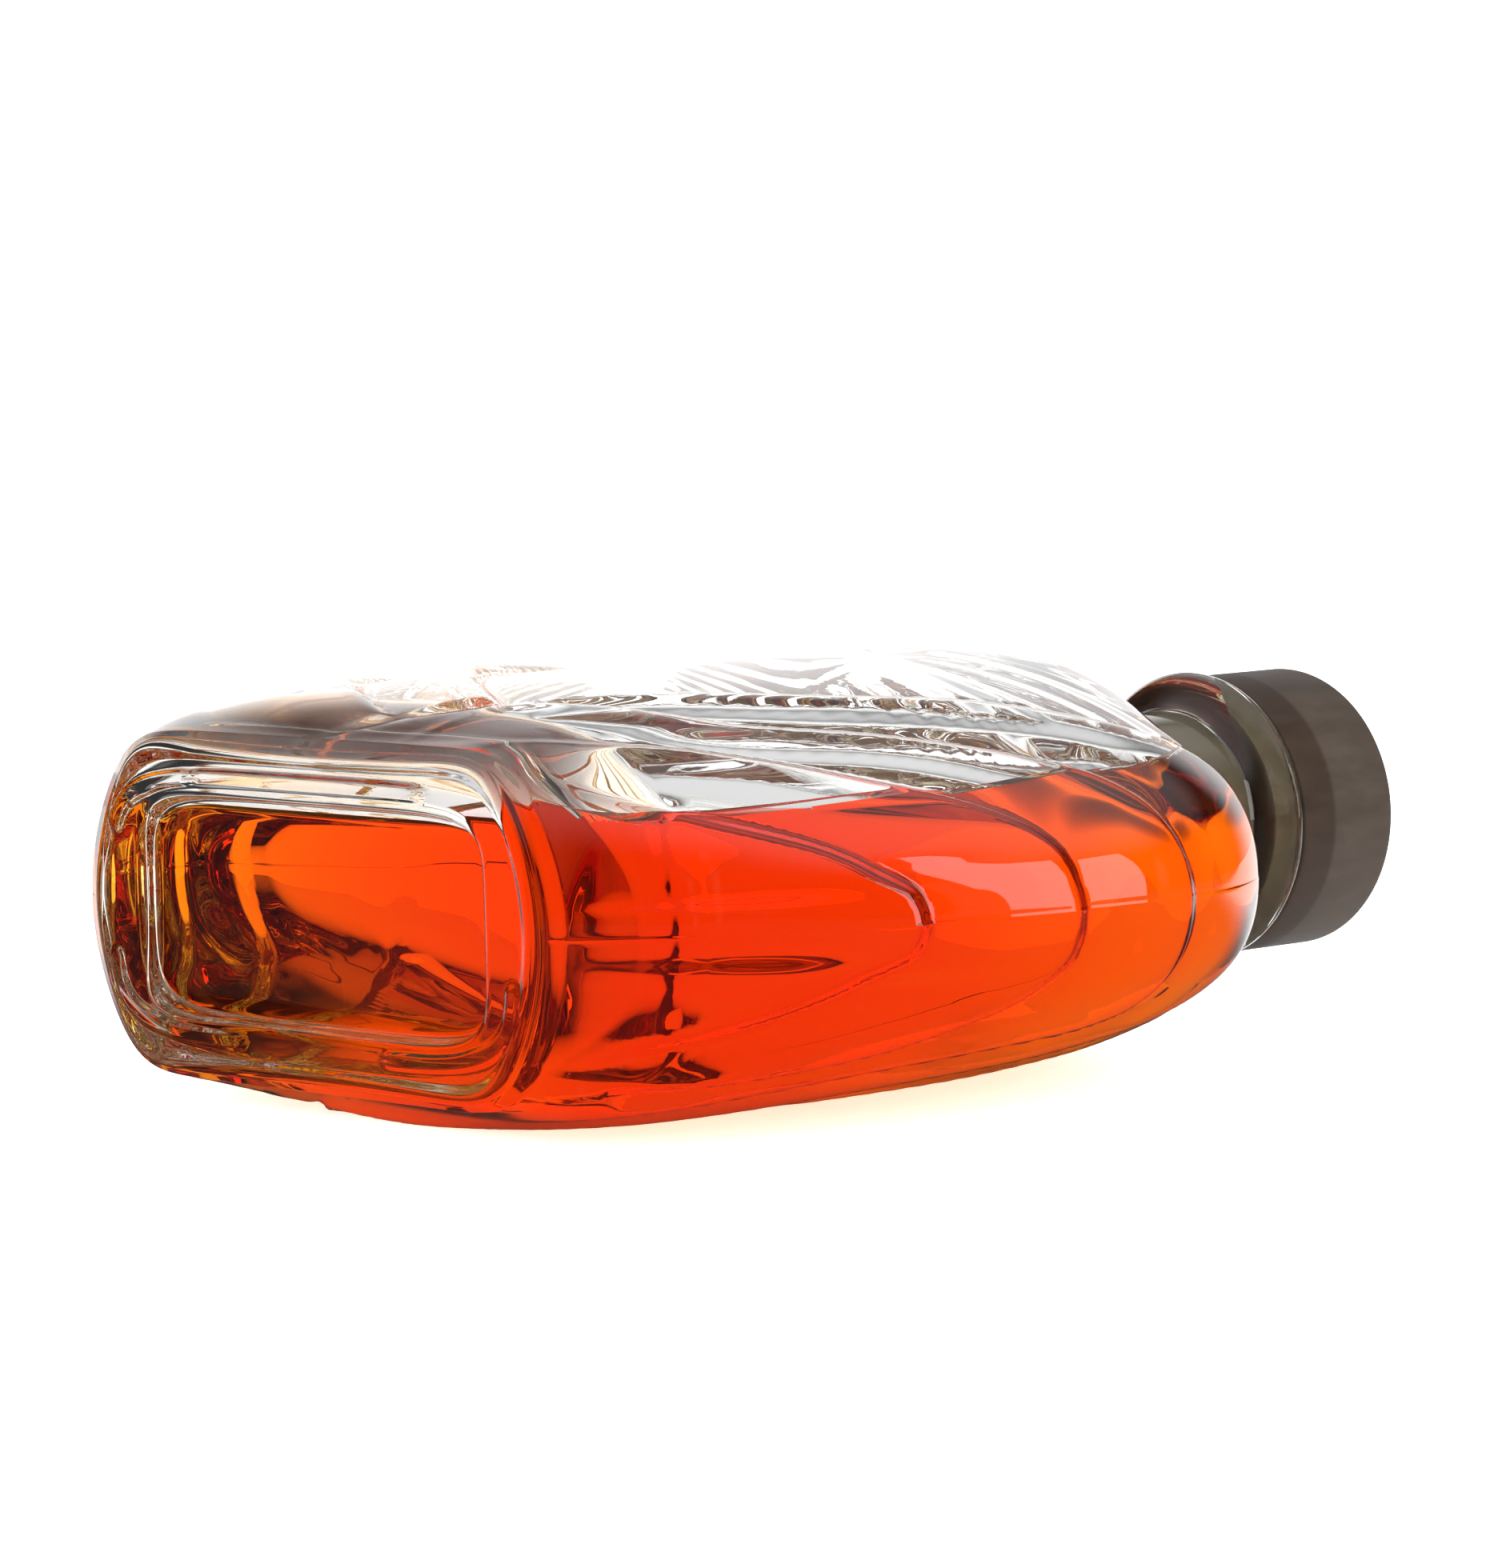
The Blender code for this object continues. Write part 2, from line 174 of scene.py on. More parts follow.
LOWER_FULL = [28.0, 28.0, 28.0, 16.0, 16.0, 9.0, 9.0]   # station where each petal has its full height
UPPER_FULL = 28.0
UPPER_SPAN = 1.2                # quarter turns from their seam that the petals of each set can reach
LOWER_SPAN = 1.6
WRAP_FROM = 0.8                 # past this, LOWER petals show only beyond the other seam's WRAP edge
WRAP_BLEND = 1.0 * MM
EDGE_ROLL = 3.0 * MM            # width over which a petal's edge rounds down to the next petal
PETAL_SWELL = 0.75              # the raised edge dies away behind it over this share of the petal,
PETAL_REACH = (4.0 * MM, 20.0 * MM)     # but over no less and no more than these
RELIEF_BASE = 1.5 * MM          # station where the relief sets in
RELIEF_NECK = (140.0 * MM, 154.0 * MM)  # stations between which it dies away

# Camera: its turn in degrees, its place in flange radii, and its focal length in image heights
FLANGE = 23.5 * MM
YAW, PITCH, ROLL = math.radians(43.14), math.radians(4.89), math.radians(-1.3)
SHIFT = (-2.785, -0.832, 39.396)
FOCAL = 7962 / 1960

# Floor and surroundings
FLOOR_DROP = 0.2 * MM           # the floor lies this much below the flask
FLOOR_TONE = 0.9
FLOOR_GLOW = 0.6                # the floor is lit from below, like a light table
FLOOR_ROUND = 0.65              # tones, in the glass, of the floor round the flask and to its sides
FLOOR_FAR = 0.03
FLOOR_AHEAD = (-0.02, 0.10)     # metres beyond the flask's middle where the pale floor in the glass sets in
FLOOR_WITHIN = (0.12, 0.38)     # metres to the side where it ends
FLOOR_WIDENS = 0.9              # it widens by this much for each metre beyond the flask
FOOTPRINT = (100.0 * MM, 80.0 * MM, 1.0)    # half sizes of the shaded floor under the flask
LIT = 2.2                       # brightness all round, as it lights the floor and the stopper
OVERHEAD = 0.8                  # brightness overhead, behind and on the near side, as the glass shows it
BEHIND = 1.4
NEAR_SIDE = 0.03


def smooth_curve(points):
    """Cubic curve through the points, without overshoot; beyond them it keeps the end values."""
    xs, ys = (np.array(column, float) for column in zip(*points))
    gap = np.diff(xs)
    slope = np.diff(ys) / gap
    tangent = np.concatenate([slope[:1], np.zeros(len(xs) - 2), slope[-1:]])
    for i in range(1, len(xs) - 1):
        if slope[i - 1] * slope[i] > 0:
            before = 2 * gap[i] + gap[i - 1]
            after = gap[i] + 2 * gap[i - 1]
            tangent[i] = (before + after) / (before / slope[i - 1] + after / slope[i])

    def value(at):
        at = np.clip(at, xs[0], xs[-1])
        i = np.clip(np.searchsorted(xs, at) - 1, 0, len(gap) - 1)
        t = (at - xs[i]) / gap[i]
        rise = (3 - 2 * t) * t * t
        return (ys[i] + (ys[i + 1] - ys[i]) * rise
                + gap[i] * t * (1 - t) * (tangent[i] * (1 - t) - tangent[i + 1] * t))

    return value


def ease(low, high, at):
    t = np.clip((at - low) / (high - low), 0.0, 1.0)
    return t * t * (3 - 2 * t)


def section_table(rows):
    """Curves for half width, half thickness, squareness, side bow and face crown by station."""
    columns = list(zip(*rows))
    return [smooth_curve(list(zip(columns[0], column))) for column in columns[1:]]


def section(values, turn):
    """Ring of (y, z) at the angles in turn: a rounded rectangle with bowed sides and faces."""
    half_width, half_height, square, bow, crown = values
    y0 = np.cos(turn) * half_width
    z0 = np.sin(turn) * half_height
    scale = np.ones_like(turn)
    for _ in range(SECTION_PASSES):
        across = np.abs(z0 * scale / half_height)
        along = np.abs(y0 * scale / half_width)
        side = along / (1 - bow * np.minimum(across, 1.2) ** 2)
        face = across / (1 - crown * np.minimum(along, 1.2) ** 2)
        scale *= (side ** square + face ** square) ** (-1 / square)
    return y0 * scale, z0 * scale


def table_section(table, station, turn, grow=0.0):
    """Section that a table gives at a station, let out by grow."""
    half_width, half_height, *form = [curve(station / MM) for curve in table]
    return section([half_width * MM + grow, half_height * MM + grow, *form], turn)


def normals(y, z):
    """Outward unit normals of a ring that runs anticlockwise."""
    dy = np.roll(y, -1) - np.roll(y, 1)
    dz = np.roll(z, -1) - np.roll(z, 1)
    length = np.hypot(dy, dz)
    return dz / length, -dy / length


def petal_set(lines, heights, full):
    """For each petal of a set, its edge, the edge inside it, its height and where it has all of it."""
    edges = [smooth_curve(line) for line in lines]
    base_plane = smooth_curve([(0.0, 0.0), (2.0, 0.0)])
    return list(zip(edges, [base_plane] + edges[:-1], heights, full))


PETAL_UPPER = petal_set(UPPER + [WRAP], [UPPER_HEIGHT] * 4, [UPPER_FULL] * 4)
PETAL_LOWER = petal_set(LOWER, LOWER_HEIGHTS, LOWER_FULL)
WRAP_EDGE = smooth_curve(WRAP)


def petal_edge(station, quarter, petal, arc):
    """Height of one petal: it swells towards its edge and rounds off over EDGE_ROLL."""
    line, inner, height, full = petal
    edge = line(quarter) * MM
    step = 0.01
    lean = (line(quarter + step) - line(quarter - step)) * MM / (2 * step * arc)
    slant = np.sqrt(1 + lean ** 2)
    behind = (edge - station) / slant
    reach = np.clip((edge - inner(quarter) * MM) / slant * PETAL_SWELL, *PETAL_REACH)
    roll = np.clip(behind / EDGE_ROLL, 0.0, 1.0)
    fade = np.exp(-(np.maximum(behind - EDGE_ROLL, 0.0) / reach) ** 2)
    return height * MM * ease(RELIEF_BASE, full * MM, station) * (1 - (1 - roll) ** 2) * fade


def petals_of_one_side(station, quarter, arc):
    """Relief of the petals that spring from one side seam, by signed quarter turns from it."""
    height = np.zeros_like(quarter)
    above = (quarter >= 0) & (quarter < UPPER_SPAN)
    for petal in PETAL_UPPER:
        height = np.maximum(height, np.where(above, petal_edge(station, quarter, petal, arc), 0.0))
    below = quarter < 0
    depth = -quarter
    wrap = WRAP_EDGE(np.clip(2 - depth, 0.0, UPPER_SPAN)) * MM
    past_wrap = ease(-WRAP_BLEND, WRAP_BLEND, station - wrap)
    shown = np.where(below & (depth < LOWER_SPAN), np.where(depth > WRAP_FROM, past_wrap, 1.0), 0.0)
    for petal in PETAL_LOWER:
        height = np.maximum(height, shown * petal_edge(station, depth, petal, arc))
    return height


def relief(station, turn, y, z):
    """Relief at one station, the same after half a turn about the axis."""
    length = np.hypot(np.roll(y, -1) - np.roll(y, 1), np.roll(z, -1) - np.roll(z, 1))
    spread = np.mod(np.roll(turn, -1) - np.roll(turn, 1), 2 * math.pi)
    arc = length / spread * (math.pi / 2)
    near = np.mod(np.degrees(math.pi - turn) / 90 + 2, 4) - 2
    far = np.mod(near + 4, 4) - 2
    height = np.maximum(petals_of_one_side(station, near, arc), petals_of_one_side(station, far, arc))
    seam = SEAM_HEIGHT * np.exp(-(z / SEAM_HALF_WIDTH) ** 2)
    return height * (1 - ease(*RELIEF_NECK, station)) + seam


def outer_ring(station, turn, table):
    y, z = table_section(table, station, turn)
    ny, nz = normals(y, z)
    rise = relief(station, turn, y, z)
    z = np.maximum(z + nz * rise, -REST_DEPTH)
    return station, y + ny * rise, z


def inset_ring(station, inset, turn, table):
    """Ring of the heel: the outline of the base plane, taken in by inset."""
    y, z = table_section(table, 0.0, turn)
    ny, nz = normals(y, z)
    return station, y - ny * inset, z - nz * inset


def round_ring(station, radius, turn):
    return station, np.cos(turn) * radius, np.sin(turn) * radius


def inside_rings(turn, grow):
    """Rings of the hollow from its floor to the neck, each let out by grow."""
    table = section_table(INSIDE)
    first = INSIDE[0][0] * MM
    rings = []
    for step in range(FLOOR_RINGS):
        angle = math.radians(8 + 82 * step / FLOOR_RINGS)
        inset = FLOOR_FILLET * (1 - math.sin(angle)) - grow
        station = FLOOR + FLOOR_FILLET * (1 - math.cos(angle)) - grow * math.cos(angle)
        rings.append((station, *table_section(table, first, turn, -inset)))
    for station in np.linspace(first, INSIDE_END, INSIDE_RINGS):
        rings.append((station, *table_section(table, station, turn, grow)))
    return [(station, *snap_to_level(y, z)) for station, y, z in rings]


def snap_to_level(y, z):
    """Moves the ring point beside the drink's level, on either side, along the ring to that level."""
    y, z = y.copy(), z.copy()
    following = np.roll(np.arange(len(z)), -1)
    for i in np.nonzero((z - LIQUOR_LEVEL) * (z[following] - LIQUOR_LEVEL) < 0)[0]:
        j = following[i]
        share = (LIQUOR_LEVEL - z[i]) / (z[j] - z[i])
        place = y[i] + (y[j] - y[i]) * share
        moved = i if share < 0.5 else j
        y[moved], z[moved] = place, LIQUOR_LEVEL
    return y, z


def add_piece(name, mesh):
    mesh.shade_smooth()
    piece = bpy.data.objects.new(name, mesh)
    bpy.context.scene.collection.objects.link(piece)
    return piece


def loft(name, rings, start, end):
    """Closed body through rings of equal count, with a point at each end, faces outwards."""
    count = len(rings[0][1])
    place = OVERALL_LENGTH / 2
    points = []
    for station, y, z in rings:
        x = np.broadcast_to(np.asarray(station, float) - place, y.shape)
        points.append(np.stack([x, y, z + REST_DEPTH], axis=1))
    points.append(np.array([[start - place, 0.0, REST_DEPTH], [end - place, 0.0, REST_DEPTH]]))
    points = np.concatenate(points)
    last = len(rings) * count
    faces = []
    for row in range(len(rings) - 1):
        for i in range(count):
            j = (i + 1) % count
            a, b = row * count, (row + 1) * count
            faces.append((a + i, a + j, b + j, b + i))
    for i in range(count):
        j = (i + 1) % count
        faces.append((last, j, i))
        faces.append((last + 1, last - count + i, last - count + j))
    points = np.clip(points, np.array(cad_low), np.array(cad_high))
    mesh = bpy.data.meshes.new(name)
    mesh.from_pydata(points.tolist(), [], faces)
    made = bmesh.new()
    made.from_mesh(mesh)
    bmesh.ops.recalc_face_normals(made, faces=made.faces)
    made.to_mesh(mesh)
    made.free()
    return add_piece(name, mesh)


def turns(count):
    return np.arange(count) * (2 * math.pi / count)


def seam_turns(count):
    """Even turns round the flask, with finer ones beside the seams at 0 and half a turn."""
    extra = []
    for middle in (0.0, math.pi):
        extra += [middle + side * share * 2 * math.pi / count for share in SEAM_SHARES for side in (-1, 1)]
    return np.sort(np.mod(np.concatenate([turns(count), extra]), 2 * math.pi))


def bar_height(y, z):
    """Share of full height of the bars on the base's ring at each point."""
    track_y, track_z = section([TRACK[0] * MM, TRACK[1] * MM, TRACK[2], 0.0, 0.0], turns(TRACK_STEPS))
    height = np.zeros_like(y)
    distance = np.hypot(y[:, None] - track_y, z[:, None] - track_z)
    nearest = np.argmin(distance, axis=1)
    off = distance[np.arange(len(y)), nearest]
    step = np.hypot(np.roll(track_y, -1) - track_y, np.roll(track_z, -1) - track_z)
    along = np.concatenate([[0.0], np.cumsum(step)])[:-1]
    total = step.sum()
    for ends in BARS:
        start, end = [along[np.argmin(np.hypot(track_y - end_y * MM, track_z - end_z * MM))] for end_y, end_z in ends]
        past = np.mod(along[nearest] - start, total)
        length = (end - start) % total
        beyond = np.where(past <= length, 0.0, np.minimum(past - length, total - past))
        reach = np.hypot(off, beyond)
        height = np.maximum(height, 1 - ease(BAR_HALF_WIDTH * 0.7, BAR_HALF_WIDTH * 1.25, reach))
    return height


def recess_section(grow, size, turn):
    """Outline of the recess in the base, let out by grow and scaled by size."""
    half_width, half_height, square = RECESS
    return section([(half_width * MM + grow) * size, (half_height * MM + grow) * size, square, 0.0, 0.0], turn)


def base_rings(turn, table):
    """Rings from the middle of the recess over its lip, the bearing ring and its bars, and the heel."""
    rings = []
    for size in np.linspace(0.15, 0.9, RECESS_RINGS):
        station = RECESS_DEPTH * (1 + RECESS_DISH * (1 - size ** 2))
        rings.append((station, *recess_section(0.0, size, turn)))
    for angle in np.linspace(0.0, 90.0, CORNER_RINGS):
        bend = math.radians(angle)
        inset = RECESS_CORNER * (1 - math.sin(bend))
        station = RECESS_DEPTH - RECESS_CORNER * (1 - math.cos(bend))
        rings.append((station, *recess_section(-inset, 1.0, turn)))
    in_y, in_z = recess_section(0.0, 1.0, turn)
    lip_y, lip_z = recess_section(RECESS_LIP, 1.0, turn)
    for share in np.linspace(0.15, 1.0, LIP_RINGS):
        bend = math.radians(90 * share)
        mix = 1 - math.cos(bend)
        station = RECESS_LIP - (RECESS_LIP - TRACK_DEPTH) * math.sin(bend)
        rings.append((station, in_y + (lip_y - in_y) * mix, in_z + (lip_z - in_z) * mix))
    _, out_y, out_z = inset_ring(0.0, HEEL_RADIUS, turn, table)
    for share in np.linspace(0.0, 1.0, BEARING_RINGS)[1:]:
        y = lip_y + (out_y - lip_y) * share
        z = lip_z + (out_z - lip_z) * share
        edge = ease(0.75, 1.0, share)
        depth = TRACK_DEPTH * (1 - np.maximum(bar_height(y, z), edge))
        rings.append((depth, y, z))
    for step in range(1, HEEL_STEPS):
        bend = math.radians(90 * step / HEEL_STEPS)
        inset = HEEL_RADIUS * (1 - math.sin(bend))
        rings.append(inset_ring(HEEL_RADIUS * (1 - math.cos(bend)), inset, turn, table))
    return rings


def make_glass():
    """The bottle as one skin; where it meets the drink it has a second material."""
    turn = seam_turns(SHELL_STEPS)
    table = section_table(BODY)
    rings = base_rings(turn, table)
    for share in np.linspace(0.0, 1.0, BODY_RINGS):
        station = HEEL_RADIUS + (BODY_END - HEEL_RADIUS) * share
        rings.append(outer_ring(station, turn, table))
    neck = smooth_curve([(BODY_END / MM, BODY[-1][1])] + NECK)
    for station in np.linspace(BODY_END / MM, MOUTH / MM, NECK_RINGS)[1:]:
        rings.append(round_ring(station * MM, neck(station) * MM, turn))
    rings.append(round_ring(MOUTH, BORE_RADIUS + MOUTH_EDGE, turn))
    rings.append(round_ring(MOUTH - MOUTH_EDGE, BORE_RADIUS, turn))
    rings.append(round_ring(SHANK_END, BORE_RADIUS, turn))
    first_inner = (len(rings) - 1) * len(turn)
    rings += reversed(inside_rings(turn, 0.0))
    piece = loft("flask_glass", rings, RECESS_DEPTH * (1 + RECESS_DISH), FLOOR)
    mesh = piece.data
    mesh.materials.append(glass_material("clear_pressed_glass", GLASS_IOR))
    mesh.materials.append(glass_material("glass_against_drink", GLASS_IOR / DRINK_IOR))
    centres = np.empty(len(mesh.polygons) * 3)
    mesh.polygons.foreach_get("center", centres)
    wet = centres.reshape(-1, 3)[:, 2] < REST_DEPTH + LIQUOR_LEVEL
    wet[:first_inner] = False
    wet[(len(rings) - 1) * len(turn)::2] = False
    mesh.polygons.foreach_set("material_index", wet.astype(np.int32))
    return piece


def meniscus(station, y, wall):
    """Height that the drink's surface climbs beside the wall and the floor of the hollow."""
    rise, reach = MENISCUS
    clear = np.minimum(np.maximum(wall - np.abs(y), 0.0), max(station - FLOOR, 0.0))
    return rise * np.exp(-clear / reach)


def level_half_width(y, z):
    """Half width of the hollow at the drink's level, or zero where the hollow is lower than that."""
    above = np.abs(y)[z > LIQUOR_LEVEL - 0.001 * MM]
    return above.max() if len(above) else 0.0


def make_drink():
    """The drink's body, which carries its colour and reaches just into the wall."""
    turn = turns(LIQUOR_STEPS)
    rings = []
    for station, y, z in inside_rings(turn, WALL_BITE):
        top = LIQUOR_LEVEL - SURFACE_COVER + meniscus(station, y, level_half_width(y, z))
        rings.append((station, y, np.minimum(z, top)))
    end = SHANK_END - SHANK_GAP
    rings.append(round_ring(end, BORE_RADIUS + WALL_BITE, turn))
    piece = loft("drink_body", rings, FLOOR - WALL_BITE, end)
    piece.data.materials.append(drink_material("brandy_body", 1.0, True))
    return piece


def make_surface():
    """The drink's level surface, a sheet with its meniscus, laid on the body."""
    place = OVERALL_LENGTH / 2
    spread = np.sin(np.linspace(-math.pi / 2, math.pi / 2, SURFACE_STEPS + 1))
    hollow = inside_rings(turns(SURFACE_TURNS), WALL_BITE)
    widths = [(FLOOR - WALL_BITE, level_half_width(*hollow[0][1:]))]
    widths += [(station, level_half_width(y, z)) for station, y, z in hollow]
    points, rows = [], 0
    for station, wall in widths:
        if wall < 0.5 * MM:
            break
        across = spread * wall
        height = REST_DEPTH + LIQUOR_LEVEL + meniscus(station, across, wall)
        points += [(station - place, a, b) for a, b in zip(across, height)]
        rows += 1
    count = SURFACE_STEPS + 1
    faces = [(r * count + i, (r + 1) * count + i, (r + 1) * count + i + 1, r * count + i + 1)
             for r in range(rows - 1) for i in range(SURFACE_STEPS)]
    mesh = bpy.data.meshes.new("drink_surface")
    mesh.from_pydata(points, [], faces)
    mesh.materials.append(drink_material("brandy_surface", DRINK_IOR, False))
    return add_piece("drink_surface", mesh)


def make_stopper():
    """Shank in the neck, and a head with rounded rims."""
    turn = turns(STOPPER_STEPS)
    under = MOUTH + SHANK_GAP
    shank = BORE_RADIUS + WALL_BITE / 2
    free = BORE_RADIUS - SHANK_GAP
    outline = [(SHANK_END, shank - HEAD_EDGE), (SHANK_END + HEAD_EDGE, shank), (MOUTH - 1.5 * MM, shank),
               (MOUTH - 1.2 * MM, free), (under, free)]
    rim = HEAD_EDGE / 2
    for step in range(RIM_STEPS + 1):
        bend = math.radians(90 * step / RIM_STEPS)
        outline.append((under + rim * (1 - math.cos(bend)), HEAD_RADIUS - rim * (1 - math.sin(bend))))
    outline += [(station * MM, HEAD_RADIUS) for station in np.linspace(*HEAD_SIDE)]
    for step in range(TOP_STEPS + 1):
        bend = math.radians(90 * step / TOP_STEPS)
        outline.append((OVERALL_LENGTH - HEAD_EDGE * (1 - math.sin(bend)),
                        HEAD_RADIUS - HEAD_EDGE * (1 - math.cos(bend))))
    outline += [(OVERALL_LENGTH, HEAD_RADIUS * share) for share in (0.9, 0.7, 0.4)]
    rings = [round_ring(station, radius, turn) for station, radius in outline]
    piece = loft("stopper_turned", rings, SHANK_END, OVERALL_LENGTH)
    piece.data.set_sharp_from_angle(angle=math.radians(50))
    piece.data.materials.append(stopper_material())
    return piece


# Materials

def new_material(name):
    material = bpy.data.materials.new(name)
    material.use_nodes = True
    tree = material.node_tree
    return material, tree, tree.nodes["Principled BSDF"], tree.nodes["Material Output"]


def node(tree, kind, **settings):
    made = tree.nodes.new(kind)
    for name, value in settings.items():
        setattr(made, name, value)
    return made


def object_noise(tree, scale, detail=3.0, stretch=(1.0, 1.0, 1.0)):
    coordinates = node(tree, "ShaderNodeTexCoord")
    mapping = node(tree, "ShaderNodeMapping")
    mapping.inputs["Scale"].default_value = stretch
    noise = node(tree, "ShaderNodeTexNoise")
    noise.inputs["Scale"].default_value = scale
    noise.inputs["Detail"].default_value = detail
    tree.links.new(coordinates.outputs["Object"], mapping.inputs["Vector"])
    tree.links.new(mapping.outputs["Vector"], noise.inputs["Vector"])
    return noise.outputs["Fac"]


def ramp(tree, source, stops):
    """Colours by the value of source, from (position, colour) stops."""
    made = node(tree, "ShaderNodeValToRGB")
    first, second = made.color_ramp.elements
    first.position, first.color = stops[0][0], (*stops[0][1], 1.0)
    second.position, second.color = stops[-1][0], (*stops[-1][1], 1.0)
    for position, colour in stops[1:-1]:
        added = made.color_ramp.elements.new(position)
        added.color = (*colour, 1.0)
    tree.links.new(source, made.inputs["Fac"])
    return made.outputs["Color"]


def bump(tree, shader, source, strength):
    made = node(tree, "ShaderNodeBump")
    made.inputs["Strength"].default_value = strength
    made.inputs["Distance"].default_value = 0.3 * MM
    tree.links.new(source, made.inputs["Height"])
    tree.links.new(made.outputs["Normal"], shader.inputs["Normal"])


def arithmetic(tree, operation, *values):
    """Math node on sockets and numbers."""
    made = node(tree, "ShaderNodeMath", operation=operation)
    for value, socket in zip(values, made.inputs):
        if isinstance(value, float):
            socket.default_value = value
        else:
            tree.links.new(value, socket)
    return made.outputs["Value"]


def dot_product(tree, source, direction):
    made = node(tree, "ShaderNodeVectorMath", operation="DOT_PRODUCT")
    made.inputs[1].default_value = direction
    tree.links.new(source, made.inputs[0])
    return made.outputs["Value"]


def smooth_range(tree, source, span, result):
    """Goes smoothly from the first to the second value of result as source crosses span."""
    made = node(tree, "ShaderNodeMapRange", interpolation_type="SMOOTHSTEP")
    for name, value in zip(("From Min", "From Max", "To Min", "To Max"), (*span, *result)):
        made.inputs[name].default_value = value
    tree.links.new(source, made.inputs["Value"])
    return made.outputs["Result"]


def clear_shader(name, ior):
    material, tree, shader, output = new_material(name)
    shader.inputs["Transmission Weight"].default_value = 1.0
    shader.inputs["IOR"].default_value = ior
    shader.inputs["Roughness"].default_value = 0.0
    return material, tree, shader, output


def glass_material(name, ior):
    material, tree, shader, _ = clear_shader(name, ior)
    shade = ramp(tree, object_noise(tree, 30.0), [(0.3, (0.97, 0.98, 0.97)), (0.7, (0.985, 0.995, 0.985))])
    tree.links.new(shade, shader.inputs["Base Color"])
    bump(tree, shader, object_noise(tree, 55.0, 1.5), 0.03)
    return material


def drink_material(name, ior, absorbs):
    material, tree, shader, output = clear_shader(name, ior)
    shade = ramp(tree, object_noise(tree, 12.0), [(0.3, (0.985, 0.98, 0.97)), (0.7, (1.0, 0.995, 0.99))])
    tree.links.new(shade, shader.inputs["Base Color"])
    if absorbs:
        absorb = node(tree, "ShaderNodeVolumeAbsorption")
        absorb.inputs["Color"].default_value = (0.98, 0.765, 0.0, 1.0)
        absorb.inputs["Density"].default_value = 100.0
        tree.links.new(absorb.outputs["Volume"], output.inputs["Volume"])
    return material


def stopper_material():
    """Dark and matte, finely streaked, with painted light that lightens its shank and painted shade that darkens the
    head next to the flange.
    """
    material, tree, shader, _ = new_material("matte_dark_taupe")
    streaks = object_noise(tree, 260.0, 4.0, (0.35, 1.0, 1.0))
    shade = ramp(tree, streaks, [(0.25, (0.034, 0.023, 0.016)), (0.75, (0.056, 0.040, 0.029))])
    coordinates = node(tree, "ShaderNodeTexCoord")
    split = node(tree, "ShaderNodeSeparateXYZ")
    tree.links.new(coordinates.outputs["Object"], split.inputs["Vector"])
    height = node(tree, "ShaderNodeMapRange")
    height.inputs["From Min"].default_value = SHANK_END - OVERALL_LENGTH / 2
    height.inputs["From Max"].default_value = OVERALL_LENGTH / 2
    tree.links.new(split.outputs["X"], height.inputs["Value"])
    length = OVERALL_LENGTH - SHANK_END
    head = (MOUTH - SHANK_END) / length
    # Painted shade: the head is darkened from its underside up to the station set at the top, where the flange shades
    # it.
    change = (FLANGE_SHADE_END - SHANK_END) / length
    # Painted light: the shank is lightened, since inside the neck it gets little light.
    pale, flange_shade, plain = (2.4, 2.7, 2.2), (0.66, 0.52, 0.40), (1.0, 1.0, 1.0)
    tone = ramp(tree, height.outputs["Result"], [(0.0, pale), (head - 0.01, pale), (head, flange_shade), (change, flange_shade),
                                                 (change + 0.02, plain), (1.0, plain)])
    mix = node(tree, "ShaderNodeVectorMath", operation="MULTIPLY")
    tree.links.new(shade, mix.inputs[0])
    tree.links.new(tone, mix.inputs[1])
    tree.links.new(mix.outputs["Vector"], shader.inputs["Base Color"])
    shader.inputs["Specular IOR Level"].default_value = 0.2
    grain = ramp(tree, streaks, [(0.3, (0.50, 0.50, 0.50)), (0.7, (0.62, 0.62, 0.62))])
    tree.links.new(grain, shader.inputs["Roughness"])
    bump(tree, shader, streaks, 0.25)
    return material


glass = make_glass()
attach(glass, "root")
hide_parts("glass_bottle")

drink = make_drink()
surface = make_surface()
for piece in (drink, surface):
    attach(piece, "root")
    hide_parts("liquor")

stopper = make_stopper()
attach(stopper, "root")
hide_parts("stopper")

# Camera at the photograph's viewing angle
along = Vector((math.sin(YAW) * math.cos(PITCH), math.cos(YAW) * math.cos(PITCH), -math.sin(PITCH)))
level = Vector((math.cos(YAW), -math.sin(YAW), 0.0))
upright = level.cross(along)
right = math.cos(ROLL) * level + math.sin(ROLL) * upright
up = math.cos(ROLL) * upright - math.sin(ROLL) * level
centre = -(SHIFT[0] * right + SHIFT[1] * up + SHIFT[2] * along) * FLANGE
centre += Vector((-OVERALL_LENGTH / 2, 0.0, REST_DEPTH))
lens = bpy.data.cameras.new("photo_camera")
camera = bpy.data.objects.new("photo_camera", lens)
bpy.context.scene.collection.objects.link(camera)
lens.sensor_fit = "AUTO"
lens.sensor_width = 36.0
lens.lens = 36.0 * FOCAL
lens.clip_start, lens.clip_end = 0.01, 50.0
turned = Matrix((right, up, -along)).transposed().to_4x4()
turned.translation = centre
camera.matrix_world = turned
bpy.context.scene.camera = camera


